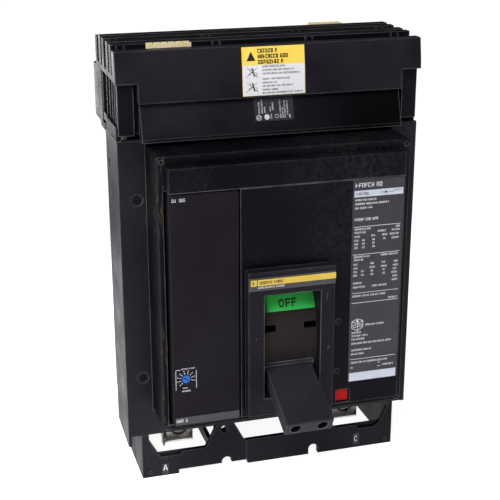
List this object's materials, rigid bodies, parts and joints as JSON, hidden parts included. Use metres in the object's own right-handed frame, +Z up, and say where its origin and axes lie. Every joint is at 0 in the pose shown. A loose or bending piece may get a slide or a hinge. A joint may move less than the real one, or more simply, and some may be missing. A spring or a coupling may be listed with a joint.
{
  "type": "molded case circuit breaker",
  "caption": "Plug-on molded case circuit breaker with a toggle handle, trip unit, slotted bus stabs at the line end and bored cable lugs at the load end.",
  "frame": {"origin": "centre of the rear mounting face", "axes": "+X right seen from the front, +Y from the front to the back, +Z up towards the line end"},
  "size_m": [0.228, 0.1979, 0.3356],
  "materials": {
    "moulded_case": "fine speckled black thermoset",
    "moulded_block": "black thermoset, slightly smoother",
    "frame_paint": "black, fine texture",
    "bracket_moulding": "black, dusty",
    "handle_black": "satin black",
    "shield_brown": "brown-grey fibre",
    "flag_green": "green",
    "trip_cover_grey": "satin dark grey",
    "strip_grey": "grey strip",
    "stripe_yellow": "yellow film",
    "dial_blue": "blue",
    "circuit_green": "circuit board",
    "button_red": "red",
    "spring_steel": "spring steel",
    "zinc_steel": "zinc-plated steel",
    "screw_black": "black oxide",
    "inner_plastic": "moulded",
    "copper": "copper, plain",
    "silver_tips": "silver alloy",
    "arc_steel": "plated steel and fibre",
    "cream_jaw": "cream",
    "tinned_lug": "tin plated",
    "label_grey": "dark grey print",
    "label_caution": "yellow and white print"
  },
  "bodies": {
    "case": {"accent_stripe": "stripe_yellow", "accessory_cover": "moulded_case", "accessory_cover_screws": "screw_black", "approval_label": "label_grey", "arc_chute_a": "arc_steel", "arc_chute_c": "arc_steel", "case_base": "moulded_case", "caution_label": "label_caution", "cover_screws": "screw_black", "cradle": "zinc_steel", "current_transformer_a": "inner_plastic", "current_transformer_c": "inner_plastic", "escutcheon": "moulded_case", "fixed_contact_tips": "silver_tips", "flexible_connector_a": "copper", "flexible_connector_c": "copper", "frame_screws": "screw_black", "front_cover": "moulded_case", "jaw_springs": "spring_steel", "line_conductor_a": "copper", "line_conductor_c": "copper", "line_end_housing": "moulded_block", "line_end_neck": "moulded_case", "line_end_shield": "moulded_block", "line_jaw_a": "cream_jaw", "line_jaw_c": "cream_jaw", "load_bracket_left": "bracket_moulding", "load_bracket_right": "bracket_moulding", "load_conductor_a": "copper", "load_conductor_c": "copper", "load_lug_a": "tinned_lug", "load_lug_c": "tinned_lug", "lug_screws": "zinc_steel", "mechanism_frame": "zinc_steel", "mounting_frame": "frame_paint", "name_strip": "strip_grey", "phase_labels": "label_grey", "rating_label": "label_grey", "trip_actuator": "zinc_steel", "trip_circuit_board": "circuit_green", "trip_rating_strip": "strip_grey", "trip_unit_cover": "trip_cover_grey", "trip_unit_housing": "trip_cover_grey"},
    "handle": {"toggle_handle": "handle_black", "handle_yoke": "handle_black", "dust_shield": "shield_brown", "position_flag": "flag_green", "mechanism_springs": "spring_steel"},
    "upper_link": {"upper_link": "zinc_steel", "knee_pin": "zinc_steel"},
    "lower_link": {"lower_link": "zinc_steel"},
    "crossbar": {"crossbar": "inner_plastic", "contact_arm_a": "copper", "contact_arm_c": "copper", "moving_contact_tips": "silver_tips"},
    "trip_button": {"push_to_trip_button": "button_red", "trip_button_spring": "spring_steel"},
    "trip_bar": {"trip_bar": "inner_plastic"},
    "trip_dial": {"trip_adjust_dial": "dial_blue"},
    "plunger": {"actuator_plunger": "zinc_steel"}
  },
  "joints": [
    {"name": "handle_hinge", "type": "hinge", "parent": "case", "child": "handle", "pos_m": [0, -0.085, -0.0303], "axis": [-1, 0, 0], "range_deg": [0, 46]},
    {"name": "crossbar_hinge", "type": "hinge", "parent": "case", "child": "crossbar", "pos_m": [0, -0.051, -0.041], "axis": [-1, 0, 0], "range_deg": [0, 28]},
    {"name": "upper_link_hinge", "type": "hinge", "parent": "case", "child": "upper_link", "pos_m": [0, -0.095, -0.028], "axis": [1, 0, 0], "range_deg": [0, 38.3]},
    {"name": "lower_link_hinge", "type": "hinge", "parent": "crossbar", "child": "lower_link", "pos_m": [0, -0.05784, -0.02221], "axis": [1, 0, 0], "range_deg": [0, 1]},
    {"name": "trip_button_slide", "type": "slide", "parent": "case", "child": "trip_button", "axis": [0, 1, 0], "range_m": [0, 0.0035], "stiffness_N_per_m": 400, "springref_m": -0.002},
    {"name": "trip_bar_hinge", "type": "hinge", "parent": "case", "child": "trip_bar", "pos_m": [0, -0.107, -0.063], "axis": [1, 0, 0], "range_deg": [0, 12.05]},
    {"name": "trip_dial_hinge", "type": "hinge", "parent": "case", "child": "trip_dial", "pos_m": [-0.078, -0.1482, -0.0502], "axis": [0, 1, 0], "range_deg": [-135, 135]},
    {"name": "actuator_plunger_slide", "type": "slide", "parent": "case", "child": "plunger", "axis": [0, 1, 0], "range_m": [0, 0.003], "stiffness_N_per_m": 200, "springref_m": -0.001}
  ],
  "couplings": [
    {"joint": "crossbar_hinge", "follows": "handle_hinge", "ratio": 0.6086},
    {"joint": "upper_link_hinge", "follows": "handle_hinge", "ratio": 0.8311},
    {"joint": "lower_link_hinge", "follows": "handle_hinge", "ratio": 0.0206},
    {"joint": "trip_bar_hinge", "follows": "trip_button_slide", "rad_per_m": 59.8}
  ]
}
